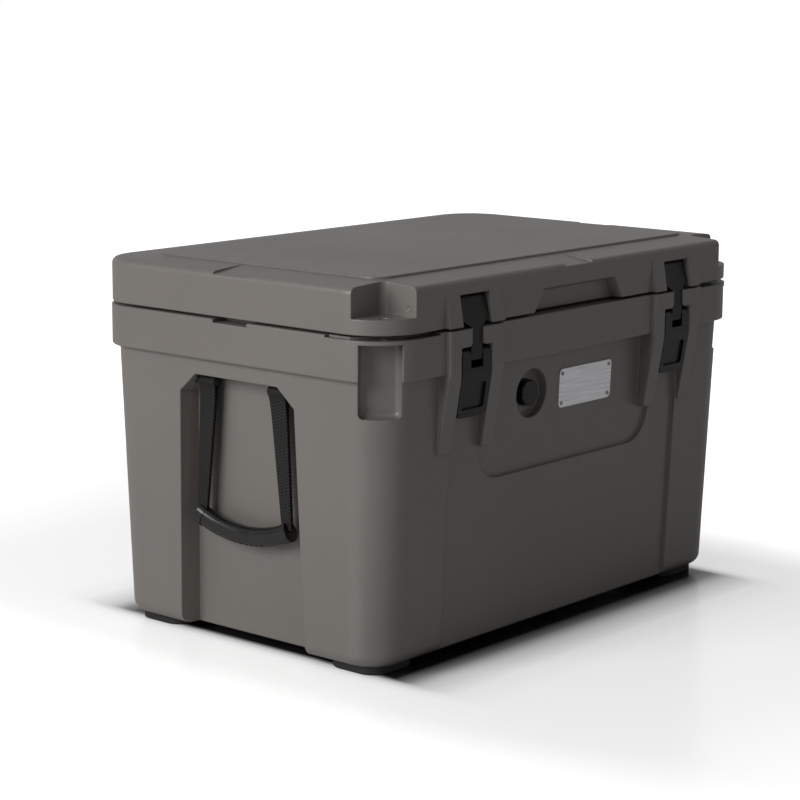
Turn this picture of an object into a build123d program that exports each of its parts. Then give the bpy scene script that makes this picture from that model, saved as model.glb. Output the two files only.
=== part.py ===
from build123d import *
import os
from math import atan2, cos, degrees, radians, sin, sqrt, tan

os.makedirs("parts", exist_ok=True)

# Frame: floor at Z = 0, X along the length, the latched front faces -Y, left is -X.
sides = ((-1, "left"), (1, "right"))
ends = ((-1, "front"), (1, "back"))

# Heights, from the floor up.
foot_height = 10.0
body_height = 371.5
rim_height = 48.5
lid_gap = 3.0
lid_height = 50.5
border_rise = 3.5
panel_step = 2.5

# Outlines of lid, rim and drafted walls.
lid_length = 700.0
lid_depth = 452.0
lid_corner = 58.0
rim_proud = 1.0
end_overhang = 8.5
side_overhang = 9.5
end_draft = 8.5
side_draft = 14.0
wall_corner = 50.0
base_corner = 42.0
base_round = 14.0
rim_edge_round = 3.0
panel_inset = 52.0
panel_corner = 20.0
lid_edge_round = 7.0
soft_edge = 1.5

# Walls of the hollow body and lid.
skin = 5.0
front_skin = 14.0
shell_seam = 60.0
seat_width = 5.0
flange_thick = 5.0
flange_corner = 48.0
wall_build = 48.0
floor_build = 50.0
liner_wall = 3.5
tub_corner = 44.0
tub_round = 20.0
foam_play = 0.2
pan_wall = 4.0
pan_margin = 30.0
pan_corner = 48.0
pan_ledge = 6.0
plug_depth = 10.0
plug_play = 4.0
lid_skin = 6.0
gasket_width = 10.0
gasket_seat = 2.0
gasket_margin = 8.0
touch_gap = 0.3

# Pressed-in fields of the front wall.
section_half = 223.0
section_depth = 4.0
field_half = 169.0
field_height = 135.0
field_depth = 4.0
field_corner = 40.0

# Latches: ribs and ears on the body, buttresses and slots on the lid.
latch_x = 197.5
rib_inner = 27.0
rib_width = 21.0
rib_proud = 5.5
rib_knee = 46.5
rib_length = 139.5
rib_toe = 4.0
rib_round = 3.0
ear_gap = 20.5
ear_height = 20.0
ear_round = 5.0
channel_depth = 19.0
neck_room = 14.5
slot_half = 26.0
slot_height = 34.5
slot_depth = 21.0
buttress_height = 40.0

# Latch strap, lever and their pins.
latch_pin_radius = 3.0
latch_pin_inset = 10.6
latch_pin_height = 26.3
strap_barrel = 7.2
strap_play = 1.5
strap_thick = 8.5
strap_recess = 2.0
strap_head = 7.0
strap_neck_top = -2.0
strap_play_neck = 0.65
strap_end = 36.5
lever_play = 1.5
lever_set = 1.2
lever_pivot_drop = 31.0
lever_arm = 8.3
lever_knee = 50.5
lever_length = 101.0
lever_tilt = 8.0
lever_thick = 10.0
lever_corner = 8.0
lever_fork = 44.5
lever_fork_play = 0.45
lever_pin_length = 25.0
inset_margin = 6.0
inset_height = 30.0
inset_drop = 12.0
inset_depth = 2.8
pin_fit = 0.05

# Lid hollows: corner pockets, finger grip and strap scoops.
pocket_length = 54.0
pocket_depth = 47.0
ledge_height = 17.5
pocket_round = 8.0
padlock_radius = 5.0
padlock_end_inset = 28.0
padlock_inset = 25.0
finger_half = 87.0
finger_top_half = 70.0
finger_height = 27.0
finger_depth = 14.0
finger_taper = 20.0
scoop_half = 27.0
scoop_depth = 3.0

# Corner grooves and steps of the body rim.
groove_width = 47.0
groove_depth = 18.0
groove_drop = 89.5
groove_round = 8.0
groove_bottom = 6.0
mouth_round = 9.0
flange_trim = 13.0
rim_step = 2.5
rim_step_length = 96.0
rim_step_depth = 84.0
lock_plate = 4.5
notch_half = 26.5
notch_reach = 22.0
notch_depth = 4.0

# Handle recess, rod, webbing and grip at each end.
recess_drop = 19.5
recess_top_half = 64.0
recess_half = 89.0
recess_shoulder = 22.0
recess_base_half = 99.0
recess_depth = 26.0
recess_taper = 10.0
recess_margin = 20.0
rod_radius = 4.0
rod_drop = 8.5
rod_inset = 13.5
rod_seat = 10.0
rod_boss = 12.0
rod_pocket = 2.0
web_width = 25.4
web_ply = 2.4
web_top = 54.0
web_foot = 67.0
web_end_width = 15.0
web_length = 157.0
grip_half = 71.0
grip_sag = 15.5
grip_height = 22.0
grip_thick = 17.0
grip_round = 8.2
collar_length = 10.0
collar_swell = 0.8
grip_notches = 9
grip_notch_step = 7.5
grip_notch_radius = 3.2
web_play = 0.3

# Hinge at the back.
hinge_inset = 150.0
hinge_radius = 7.0
hinge_clear = 1.0
hinge_pin_radius = 3.5
body_knuckle = 40.0
lid_knuckle = 60.0
knuckle_gap = 0.5
knuckle_web = 36.0

# Relief valve and plate on the front field.
valve_x = -66.0
valve_drop = 46.0
dish_radius = 29.0
dish_depth = 11.0
valve_bush_radius = 13.0
valve_bore = 7.0
valve_flange = 1.6
valve_flange_radius = 16.5
valve_knob_radius = 15.3
valve_knob_height = 6.0
valve_lobes = 8
valve_lobe_radius = 2.6
valve_seal_radius = 11.0
valve_seal_thick = 1.6
valve_shank = 18.0
plate_x = 38.0
plate_drop = 48.0
plate_length = 104.0
plate_height = 46.5
plate_thick = 1.5
plate_corner = 6.0
rivet_radius = 1.5
rivet_head = 2.4
rivet_head_height = 0.8
rivet_inset = 5.5
rivet_length = 4.0

# Drain at the right end, low in the recess.
drain_rise = 17.0
drain_bore = 11.0
drain_bush_radius = 16.0
drain_flange_radius = 23.0
drain_flange = 4.0
drain_head_radius = 20.0
drain_head = 12.0
drain_lobes = 10
drain_lobe_radius = 3.0
drain_seal_thick = 2.4
drain_seal_width = 3.5
knob_edge = 1.0
shaft_fit = 0.07

# Feet.
foot_size = 74.0
foot_corner = 22.0
foot_inset = 14.0
foot_screw_radius = 3.0
foot_screw_head = 6.0
foot_head_height = 4.0
foot_head_recess = 5.0
screw_play = 0.1

# Levels and half sizes worked out from the above.
base_z = foot_height
rim_top = base_z + body_height
rim_low = rim_top - rim_height
lid_low = rim_top + lid_gap
lid_edge = lid_low + lid_height
panel_low = lid_edge + border_rise
lid_top = panel_low + panel_step
rim_length = lid_length + 2 * rim_proud
rim_depth = lid_depth + 2 * rim_proud
rim_corner = lid_corner + rim_proud
wall_length = rim_length - 2 * end_overhang
wall_depth = rim_depth - 2 * side_overhang
base_length = wall_length - 2 * end_draft
base_depth = wall_depth - 2 * side_draft
wall_height = rim_low - base_z
side_slope = degrees(atan2(side_draft, wall_height))
end_slope = degrees(atan2(end_draft, wall_height))
rib_front = rim_depth / 2 + rib_proud
field_floor = section_depth + field_depth
tub_floor = base_z + floor_build


def front_wall(z):
    """Distance of the drafted front wall from the middle at a height."""
    return wall_depth / 2 - (rim_low - z) * tan(radians(side_slope))


def end_wall(z):
    """Distance of a drafted end wall from the middle at a height."""
    return wall_length / 2 - (rim_low - z) * tan(radians(end_slope))


def drafted(low, high, low_z, high_z, shift=0.0):
    """A drafted block between two rounded rectangles (length, depth, corner)."""
    with BuildPart() as block:
        for size, z in ((low, low_z), (high, high_z)):
            with BuildSketch(Plane.XY.offset(z)):
                with Locations((0, shift)):
                    RectangleRounded(*size)
        loft(ruled=True)
    return block.part


def prism(length, depth, corner, low_z, high_z, shift=0.0):
    """An upright block with rounded corners."""
    with BuildPart() as block:
        with BuildSketch(Plane.XY.offset(low_z)):
            with Locations((0, shift)):
                RectangleRounded(length, depth, corner)
        extrude(amount=high_z - low_z)
    return block.part


def profile_bar(points, start, stop):
    """A bar along X with a side profile given as (y, z) points."""
    with BuildPart() as bar:
        with BuildSketch(Plane.YZ.offset(start)):
            with BuildLine():
                Polyline(*points, close=True)
            make_face()
        extrude(amount=stop - start)
    return bar.part


def slab(x_range, y_range, z_range):
    """A plain block between two corners."""
    size = [high - low for low, high in (x_range, y_range, z_range)]
    middle = [(high + low) / 2 for low, high in (x_range, y_range, z_range)]
    with BuildPart() as block:
        with Locations(tuple(middle)):
            Box(*size)
    return block.part


def rod_along(axis, centre, radius, length):
    """A round bar along an axis, from its middle point."""
    turn = {"x": (0, 90, 0), "y": (90, 0, 0), "z": (0, 0, 0)}[axis]
    with BuildPart() as bar:
        with Locations(Location(centre, turn)):
            Cylinder(radius, length)
    return bar.part


# Planes lying on the drafted front wall and, facing inward, on the two end walls.
front_plane = Plane(
    origin=(0, -wall_depth / 2, rim_low),
    x_dir=(1, 0, 0),
    z_dir=(0, -cos(radians(side_slope)), -sin(radians(side_slope))),
)
end_planes = {
    side: Plane(
        origin=(side * wall_length / 2, 0, rim_low),
        x_dir=(0, -side, 0),
        z_dir=(-side * cos(radians(end_slope)), 0, sin(radians(end_slope))),
    )
    for side, name in sides
}


def front_cutter(outline_half, low, depth, corner):
    """A sunk field of the front wall, open at the rim, cut straight back."""
    with BuildPart() as cutter:
        with BuildSketch(front_plane) as field:
            with BuildLine():
                Polyline((-outline_half, 0), (-outline_half, -low), (outline_half, -low), (outline_half, 0),
                         close=True)
            make_face()
            if corner:
                fillet(field.vertices().group_by(Axis.Y)[0], corner)
        extrude(amount=depth, dir=(0, 1, 0))
        extrude(field.sketch, amount=base_round, dir=(0, -1, 0))
    return cutter.part


def recess_cutter(side, grow, depth):
    """The handle recess of one end, grown all round for the skin behind it."""
    low = wall_height + recess_margin
    with BuildPart() as cutter:
        with BuildSketch(end_planes[side]):
            with BuildLine():
                Polyline(
                    (-recess_base_half - grow, -low),
                    (recess_base_half + grow, -low),
                    (recess_half + grow, -recess_drop - recess_shoulder),
                    (recess_top_half + grow, -recess_drop + grow),
                    (-recess_top_half - grow, -recess_drop + grow),
                    (-recess_half - grow, -recess_drop - recess_shoulder),
                    close=True,
                )
            make_face()
        extrude(amount=depth, taper=recess_taper)
    return cutter.part


# Front corner grooves, set square to the corner's diagonal.
diagonal = 1 / sqrt(2)
groove_x = wall_length / 2 - wall_corner + wall_corner * diagonal
groove_y = wall_depth / 2 - wall_corner + wall_corner * diagonal


def groove_cutter(side, width, depth, low_z, high_z, corner, low_round=0.0):
    """A rounded upright slot that bites into a front corner along its diagonal."""
    reach = 2 * wall_corner
    shift = (reach / 2 - depth) * diagonal
    with BuildPart() as cutter:
        with BuildSketch(Plane.XY.offset(low_z)):
            with Locations(Location((side * (groove_x + shift), -groove_y - shift, 0), (0, 0, side * 45))):
                RectangleRounded(width, reach, corner)
        extrude(amount=high_z - low_z)
        if low_round:
            fillet(cutter.faces().sort_by(Axis.Z)[0].edges(), low_round)
    return cutter.part


def mouth_cutter(side, low_z, high_z):
    """The way into a groove through the rim, between two rounded shoulders."""
    half = groove_width / 2 + mouth_round
    with BuildPart() as cutter:
        with BuildSketch(Plane.XY.offset(low_z)):
            with Locations(Location((side * groove_x, -groove_y, 0), (0, 0, side * 45))):
                Rectangle(2 * half, 2 * wall_corner, align=(Align.CENTER, Align.MAX))
                with Locations((-half, 0), (half, 0)):
                    Circle(mouth_round, mode=Mode.SUBTRACT)
        extrude(amount=high_z - low_z)
    return cutter.part


# Places of pins and bores shared by the pieces that they join.
groove_low = rim_top - groove_drop
lock_plate_top = rim_top - rim_step
lock_plate_low = lock_plate_top - lock_plate
padlock_x = lid_length / 2 - padlock_end_inset
padlock_y = -(lid_depth / 2 - padlock_inset)
latch_pin_y = -(lid_depth / 2 - latch_pin_inset)
latch_pin_z = lid_low + latch_pin_height
pin_start = lid_length / 2 - pocket_length
pin_stop = latch_x - slot_half - rod_seat
lever_pivot_y = -(rib_front - lever_set - lever_arm)
lever_pivot_z = rim_top - lever_pivot_drop
lever_half = rib_inner - lever_play
hinge_y = rib_front - hinge_radius
hinge_z = rim_top + lid_gap / 2
rod_z = rim_low - recess_drop - rod_drop
rod_x = end_wall(rod_z) - rod_inset
rod_share = rod_drop / recess_shoulder
loop_room = rod_radius + touch_gap + web_ply + rod_pocket
rod_half = recess_top_half + (recess_half - recess_top_half) * rod_share + rod_seat / 2
valve_z = rim_low - valve_drop
valve_floor = front_wall(valve_z) - field_floor
dish_floor = valve_floor - dish_depth
plate_z = rim_low - plate_drop
drain_z = tub_floor + drain_rise
drain_face = end_wall(drain_z - drain_flange_radius) - recess_depth / cos(radians(end_slope))
hinge_x = lid_length / 2 - hinge_inset
foot_x = base_length / 2 - foot_inset - foot_size / 2
foot_y = base_depth / 2 - foot_inset - foot_size / 2
feet = [(side * foot_x, end * foot_y, f"{end_name}_{name}") for side, name in sides for end, end_name in ends]

# Hollow between the outer walls, closed above by the liner's flange.
hollow_shift = (front_skin - skin) / 2
hollow_low = (base_length - 2 * skin, base_depth - skin - front_skin, base_corner - skin)
hollow_high = (wall_length - 2 * skin, wall_depth - skin - front_skin, wall_corner - skin)
flange_z = rim_top - flange_thick
flange_length = hollow_high[0] + 2 * seat_width
flange_depth = hollow_high[1] + 2 * seat_width
tub_high = (wall_length - 2 * wall_build, wall_depth - 2 * wall_build, tub_corner)
tub_low = (base_length - 2 * wall_build, base_depth - 2 * wall_build, tub_corner - side_draft / 2)
liner_high = (tub_high[0] + 2 * liner_wall, tub_high[1] + 2 * liner_wall, tub_high[2] + liner_wall)
liner_low = (tub_low[0] + 2 * liner_wall, tub_low[1] + 2 * liner_wall, tub_low[2] + liner_wall)


def hollow(play):
    """The foam space of the body, kept a skin away from every sunk feature."""
    trimmed = [(length - 2 * play, depth - 2 * play, corner - play) for length, depth, corner in
               (hollow_low, hollow_high)]
    with BuildPart() as space:
        add(drafted(*trimmed, base_z + skin + play, flange_z - play, hollow_shift))
        for side, name in sides:
            add(recess_cutter(side, skin + play, recess_depth + skin + play), mode=Mode.SUBTRACT)
            add(rod_along("y", (side * rod_x, 0, rod_z), rod_radius + rod_boss + play,
                          2 * (rod_half + rod_boss + play)), mode=Mode.SUBTRACT)
            add(groove_cutter(side, groove_width + 2 * (skin + play), groove_depth + skin + play,
                              groove_low - skin - play, rim_top, groove_round + skin), mode=Mode.SUBTRACT)
        add(rod_along("y", (valve_x, -dish_floor, valve_z), dish_radius + skin + play, 2 * (skin + play)),
            mode=Mode.SUBTRACT)
    return space.part


# Rim band and wall of the body, each rounded before they are joined.
with BuildPart() as rim_band:
    add(prism(rim_length, rim_depth, rim_corner, rim_low, rim_top))
    fillet(rim_band.faces().sort_by(Axis.Z)[0].edges(), rim_edge_round)
    fillet(rim_band.faces().sort_by(Axis.Z)[-1].edges(), soft_edge)

with BuildPart() as body_wall:
    add(drafted((base_length, base_depth, base_corner), (wall_length, wall_depth, wall_corner),
                base_z, rim_low))
    fillet(body_wall.faces().sort_by(Axis.Z)[0].edges(), base_round)


def latch_ribs(x):
    """Two tapering ribs beside a latch, with the ears between their heads."""
    foot_z = rim_top - rib_length
    toe_y = -(front_wall(foot_z) + rib_toe)
    root_y = -(front_wall(foot_z) - field_floor)
    outline = [(-rib_front, rim_top), (-rib_front, rim_top - rib_knee), (toe_y, foot_z + rib_toe),
               (toe_y, foot_z), (root_y, foot_z), (root_y, rim_top)]
    with BuildPart() as ribs:
        for side, name in sides:
            start, stop = sorted((x + side * rib_inner, x + side * (rib_inner + rib_width)))
            add(profile_bar(outline, start, stop))
    with BuildPart() as rounded:
        add(ribs.part)
        fillet(rounded.edges().filter_by(Axis.Z).group_by(Axis.Y)[0], rib_round)
    with BuildPart() as ears:
        for side, name in sides:
            start, stop = sorted((x + side * ear_gap / 2, x + side * (rib_inner + rib_round)))
            add(slab((start, stop), (-rib_front, -rib_front + channel_depth),
                     (rim_top - ear_height, rim_top)))
        inner = ears.edges().filter_by(Axis.Y).group_by(Axis.Z)[0]
        fillet(inner.filter_by(lambda edge: abs(edge.center().X - x) < rib_inner), ear_round)
    with BuildPart() as frame:
        add(rounded.part)
        add(ears.part)
    return frame.part


def hinge_knuckle(x, length, on_lid):
    """A barrel on the hinge axis with a web to the body below or to the lid above."""
    up = 1 if on_lid else -1
    root = (lid_depth if on_lid else rim_depth) / 2 - rim_edge_round
    level = hinge_z + up * lid_gap / 2
    outline = [(root, level), (hinge_y, level), (hinge_y + hinge_radius, hinge_z),
               (root, level + up * knuckle_web)]
    with BuildPart() as knuckle:
        add(profile_bar(outline, x - length / 2, x + length / 2))
        add(rod_along("x", (x, hinge_y, hinge_z), hinge_radius, length))
    return knuckle.part


knuckle_step = (lid_knuckle + body_knuckle) / 2 + knuckle_gap
hinge_span = lid_knuckle + 2 * (body_knuckle + knuckle_gap)
rivet_places = [(plate_x + side * (plate_length / 2 - rivet_inset), end * (plate_height / 2 - rivet_inset),
                 f"{name}_{'low' if end < 0 else 'high'}") for side, name in sides for end, end_name in ends]
plate_plane = Plane(
    origin=(0, -(front_wall(plate_z) - field_floor), plate_z),
    x_dir=(1, 0, 0),
    z_dir=front_plane.z_dir,
)


def tub_wall(z):
    """Distance of the tub's front and back walls from the middle at a height."""
    return tub_high[1] / 2 - (rim_top - z) * side_draft / (rim_top - tub_floor)


def tub_end(z):
    """Distance of the tub's end walls from the middle at a height."""
    return tub_high[0] / 2 - (rim_top - z) * end_draft / (rim_top - tub_floor)


valve_length = dish_floor - tub_wall(valve_z)
valve_middle = (valve_x, -(dish_floor + tub_wall(valve_z)) / 2, valve_z)
drain_length = drain_face - tub_end(drain_z)
drain_middle = ((drain_face + tub_end(drain_z)) / 2, 0, drain_z)
bore_overrun = 2 * tub_corner


def flange_block(grow, low_z, high_z):
    """The liner's flange, cut off square to the diagonal at the two front corners."""
    with BuildPart() as block:
        add(prism(flange_length + 2 * grow, flange_depth + 2 * grow, flange_corner + grow, low_z, high_z,
                  hollow_shift))
        for side, name in sides:
            add(groove_cutter(side, 2 * wall_corner, flange_trim - grow, low_z, high_z, groove_round),
                mode=Mode.SUBTRACT)
    return block.part


def end_notch(side):
    """A pry notch in the middle of one end of the rim."""
    x_range = sorted((side * (rim_length / 2 - notch_reach), side * (rim_length / 2 + notch_reach)))
    return slab(x_range, (-notch_half, notch_half), (rim_top - notch_depth, rim_top + rim_step))


# Lowered rim at the two front corners, outside the liner's flange.
with BuildPart() as rim_steps:
    for side, name in sides:
        x_range = sorted((side * (rim_length / 2 - rim_step_length), side * (rim_length / 2 + rim_step)))
        y_range = (-rim_depth / 2 - rim_step, -(rim_depth / 2 - rim_step_depth))
        add(slab(x_range, y_range, (lock_plate_top, rim_top + rim_step)))
    add(flange_block(soft_edge, lock_plate_top - rim_step, rim_top + 2 * rim_step), mode=Mode.SUBTRACT)

# Outer shell of the body.
with BuildPart() as body_shell:
    add(body_wall.part)
    add(front_cutter(section_half, wall_height + base_round, section_depth, 0), mode=Mode.SUBTRACT)
    add(front_cutter(field_half, field_height, field_floor, field_corner), mode=Mode.SUBTRACT)
    add(rim_band.part)
    add(rim_steps.part, mode=Mode.SUBTRACT)
    for side, name in sides:
        latch = side * latch_x
        add(latch_ribs(latch))
        add(slab((latch - rib_inner, latch + rib_inner), (-rib_front - rib_round, -rib_front + channel_depth),
                 (rim_top - rib_length, rim_top - ear_height)), mode=Mode.SUBTRACT)
        add(slab((latch - ear_gap / 2, latch + ear_gap / 2), (-rib_front - rib_round, -rib_front + neck_room),
                 (rim_top - ear_height - rib_round, rim_top + rib_round)), mode=Mode.SUBTRACT)
        add(recess_cutter(side, 0, recess_depth), mode=Mode.SUBTRACT)
        add(mouth_cutter(side, rim_low - rim_edge_round, lock_plate_low), mode=Mode.SUBTRACT)
        add(groove_cutter(side, groove_width, groove_depth, groove_low, lock_plate_low, groove_round,
                          groove_bottom), mode=Mode.SUBTRACT)
        add(end_notch(side), mode=Mode.SUBTRACT)
        add(rod_along("x", (side * hinge_x, hinge_y, hinge_z), hinge_radius + hinge_clear,
                      lid_knuckle + 2 * knuckle_gap), mode=Mode.SUBTRACT)
        for step in (-knuckle_step, knuckle_step):
            add(hinge_knuckle(side * hinge_x + step, body_knuckle, False))
    add(hollow(0), mode=Mode.SUBTRACT)
    add(flange_block(0, flange_z, rim_top + flange_thick), mode=Mode.SUBTRACT)
    for side, name in sides:
        add(rod_along("x", (side * hinge_x, hinge_y, hinge_z), hinge_pin_radius + pin_fit, 2 * hinge_span),
            mode=Mode.SUBTRACT)
        add(rod_along("x", (side * latch_x, lever_pivot_y, lever_pivot_z), latch_pin_radius + pin_fit,
                      2 * (rib_inner + rib_width / 2)), mode=Mode.SUBTRACT)
        add(rod_along("y", (side * rod_x, 0, rod_z), rod_radius + pin_fit, 2 * rod_half), mode=Mode.SUBTRACT)
        for end, end_name in ends:
            add(slab((side * rod_x - loop_room, side * rod_x + loop_room),
                     (end * web_top - web_width / 2 - rod_pocket, end * web_top + web_width / 2 + rod_pocket),
                     (rod_z - loop_room, rod_z + loop_room)), mode=Mode.SUBTRACT)
        add(rod_along("z", (side * padlock_x, padlock_y, lock_plate_top), padlock_radius, 4 * lock_plate),
            mode=Mode.SUBTRACT)
    add(rod_along("y", (valve_x, -valve_floor, valve_z), dish_radius, 2 * dish_depth), mode=Mode.SUBTRACT)
    add(rod_along("y", valve_middle, valve_bush_radius + pin_fit, valve_length + bore_overrun),
        mode=Mode.SUBTRACT)
    add(rod_along("x", drain_middle, drain_bush_radius + pin_fit, drain_length + bore_overrun),
        mode=Mode.SUBTRACT)
    add(rod_along("x", (drain_face + drain_flange / 2, 0, drain_z), drain_flange_radius + screw_play,
                  drain_flange), mode=Mode.SUBTRACT)
    for x, y, name in feet:
        add(rod_along("z", (x, y, base_z), foot_screw_radius + screw_play, 3 * skin), mode=Mode.SUBTRACT)
    for x, y, name in rivet_places:
        with BuildSketch(plate_plane):
            with Locations((x, y)):
                Circle(rivet_radius + screw_play)
        extrude(amount=-rivet_length, mode=Mode.SUBTRACT)

# The shell as four wall panels and a floor panel that meet edge to edge.
seam_x = rim_length / 2 - shell_seam
seam_y = rim_depth / 2 - shell_seam
whole = (-lid_length, lid_length)
shell_panels = (
    ("front", whole, (-lid_length, -seam_y)),
    ("back", whole, (seam_y, lid_length)),
    ("left", (-lid_length, -seam_x), (-seam_y, seam_y)),
    ("right", (seam_x, lid_length), (-seam_y, seam_y)),
    ("floor", (-seam_x, seam_x), (-seam_y, seam_y)),
)
for name, x_range, y_range in shell_panels:
    with BuildPart() as shell_panel:
        add(body_shell.part)
        add(slab(x_range, y_range, (0, lid_length)), mode=Mode.INTERSECT)
    shell_panel.part.label = f"shell_{name}"
    export_step(shell_panel.part, f"parts/shell_{name}.step")

# Inner tub with its flange, and the foam between the walls.
with BuildPart() as tub_space:
    add(drafted(tub_low, tub_high, tub_floor, rim_top))
    fillet(tub_space.faces().sort_by(Axis.Z)[0].edges(), tub_round)

with BuildPart() as liner_form:
    add(drafted(liner_low, liner_high, tub_floor - liner_wall, rim_top))
    fillet(liner_form.faces().sort_by(Axis.Z)[0].edges(), tub_round + liner_wall)

with BuildPart() as body_liner:
    add(liner_form.part)
    add(flange_block(-foam_play, flange_z, rim_top))
    add(tub_space.part, mode=Mode.SUBTRACT)
    add(rod_along("y", valve_middle, valve_bush_radius + pin_fit, valve_length + bore_overrun),
        mode=Mode.SUBTRACT)
    add(rod_along("x", drain_middle, drain_bush_radius + pin_fit, drain_length + bore_overrun),
        mode=Mode.SUBTRACT)
    for side, name in sides:
        add(end_notch(side), mode=Mode.SUBTRACT)

body_liner.part.label = "body_liner"
export_step(body_liner.part, "parts/body_liner.step")

liner_grown = [(length + 2 * foam_play, depth + 2 * foam_play, corner + foam_play)
               for length, depth, corner in
               (liner_low, liner_high)]
with BuildPart() as body_foam:
    add(hollow(foam_play))
    add(drafted(*liner_grown, tub_floor - liner_wall - foam_play, rim_top), mode=Mode.SUBTRACT)
    add(rod_along("y", valve_middle, valve_bush_radius + foam_play, valve_length + bore_overrun),
        mode=Mode.SUBTRACT)
    add(rod_along("x", drain_middle, drain_bush_radius + foam_play, drain_length + bore_overrun),
        mode=Mode.SUBTRACT)
    for x, y, name in feet:
        add(rod_along("z", (x, y, base_z), foot_screw_radius + screw_play, 4 * skin), mode=Mode.SUBTRACT)

body_foam.part.label = "body_foam"
export_step(body_foam.part, "parts/body_foam.step")

# Rubber feet, each held by one screw from below.
for x, y, name in feet:
    with BuildPart() as foot:
        with BuildSketch(Plane.XY):
            with Locations((x, y)):
                RectangleRounded(foot_size, foot_size, foot_corner)
        extrude(amount=foot_height)
        fillet(foot.faces().sort_by(Axis.Z)[0].edges(), soft_edge)
        with Locations((x, y, 0)):
            Cylinder(foot_screw_head + screw_play, 2 * foot_head_recess, mode=Mode.SUBTRACT)
            Cylinder(foot_screw_radius + screw_play, 4 * foot_height, mode=Mode.SUBTRACT)
    foot.part.label = f"foot_{name}"
    export_step(foot.part, f"parts/foot_{name}.step")
    with BuildPart() as foot_screw:
        with BuildSketch(Plane.XY.offset(foot_head_recess)):
            with Locations((x, y)):
                Circle(foot_screw_head)
        extrude(amount=-foot_head_height)
        with BuildSketch(Plane.XY.offset(foot_head_recess)):
            with Locations((x, y)):
                Circle(foot_screw_radius)
        extrude(amount=foot_height - foot_head_recess + skin)
        with BuildSketch(Plane.XY.offset(foot_head_recess - foot_head_height)):
            with Locations((x, y)):
                Rectangle(foot_screw_head, foot_screw_radius / 3)
                Rectangle(foot_screw_radius / 3, foot_screw_head)
        extrude(amount=foot_head_height / 2, mode=Mode.SUBTRACT)
    foot_screw.part.label = f"foot_screw_{name}"
    export_step(foot_screw.part, f"parts/foot_screw_{name}.step")

# Lid body: upright edge, rising border and raised panel.
panel_length = lid_length - 2 * panel_inset
panel_depth = lid_depth - 2 * panel_inset
with BuildPart() as lid_form:
    add(prism(lid_length, lid_depth, lid_corner, lid_low, lid_edge))
    add(drafted((lid_length, lid_depth, lid_corner), (panel_length, panel_depth, panel_corner),
                lid_edge, panel_low))
    fillet(lid_form.edges().group_by(Axis.Z)[0], soft_edge)
    fillet(lid_form.edges().filter_by(lambda edge: abs(edge.bounding_box().min.Z - lid_edge) < soft_edge
                                      and abs(edge.bounding_box().max.Z - lid_edge) < soft_edge),
           lid_edge_round)

with BuildPart() as lid_panel:
    add(prism(panel_length, panel_depth, panel_corner, panel_low - panel_step, lid_top))
    fillet(lid_panel.faces().sort_by(Axis.Z)[-1].edges(), soft_edge)


def buttresses(x):
    """Wedges beside a latch slot, flush above and out to the ribs below."""
    root = -(lid_depth / 2 - rim_edge_round)
    outline = [(root, lid_low), (-rib_front, lid_low), (-rib_front, lid_low + soft_edge),
               (-lid_depth / 2, lid_low + buttress_height), (root, lid_low + buttress_height)]
    with BuildPart() as wedges:
        for side, name in sides:
            start, stop = sorted((x + side * slot_half, x + side * (rib_inner + rib_width)))
            add(profile_bar(outline, start, stop))
    return wedges.part


def scoop_profile(outer, inner):
    """Side view of a tie-down scoop that falls from the panel to the lid's edge."""
    rise = panel_low - lid_edge + scoop_depth
    over = scoop_depth / rise * (inner - outer)
    return [(inner, panel_low), (outer - over, lid_edge - scoop_depth - rise * over / (inner - outer)),
            (outer - over, lid_top + scoop_depth), (inner, lid_top + scoop_depth)]


# Tie-down scoops in the middle of the front and of both ends.
with BuildPart() as lid_scoops:
    add(profile_bar(scoop_profile(-lid_depth / 2, -panel_depth / 2), -scoop_half, scoop_half))
    for side, name in sides:
        with BuildSketch(Plane.XZ.offset(-scoop_half)):
            with BuildLine():
                Polyline(*[(-side * x, z) for x, z in scoop_profile(-lid_length / 2, -panel_length / 2)],
                         close=True)
            make_face()
        extrude(amount=2 * scoop_half)

# Finger grip under the front edge.
with BuildPart() as finger_grip:
    with BuildSketch(Plane(origin=(0, -lid_depth / 2, lid_low), x_dir=(-1, 0, 0), z_dir=(0, 1, 0))):
        with BuildLine():
            Polyline((-finger_half, -finger_depth), (finger_half, -finger_depth), (finger_half, 0),
                     (finger_top_half, finger_height), (-finger_top_half, finger_height), (-finger_half, 0),
                     close=True)
        make_face()
    extrude(amount=finger_depth, taper=finger_taper)

pan_length = tub_high[0] + 2 * pan_margin
pan_depth = tub_high[1] + 2 * pan_margin
lid_hollow_low = lid_low + pan_wall


def lid_hollow(play):
    """The foam space of the lid, clear of the corner pockets."""
    with BuildPart() as space:
        add(prism(pan_length - 2 * (pan_ledge + play), pan_depth - 2 * (pan_ledge + play),
                  pan_corner - pan_ledge, lid_hollow_low, lid_edge - lid_skin - play))
        add(prism(panel_length - 2 * (lid_skin + play), panel_depth - 2 * (lid_skin + play), panel_corner,
                  lid_hollow_low, lid_top - lid_skin - play))
        for side, name in sides:
            reach = 2 * (pocket_length + lid_skin + play)
            width = 2 * (pocket_depth + lid_skin + play)
            with BuildSketch(Plane.XY.offset(lid_low)):
                with Locations((side * lid_length / 2, -lid_depth / 2)):
                    RectangleRounded(reach, width, pocket_round)
            extrude(amount=lid_top - lid_low, mode=Mode.SUBTRACT)
    return space.part


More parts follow.
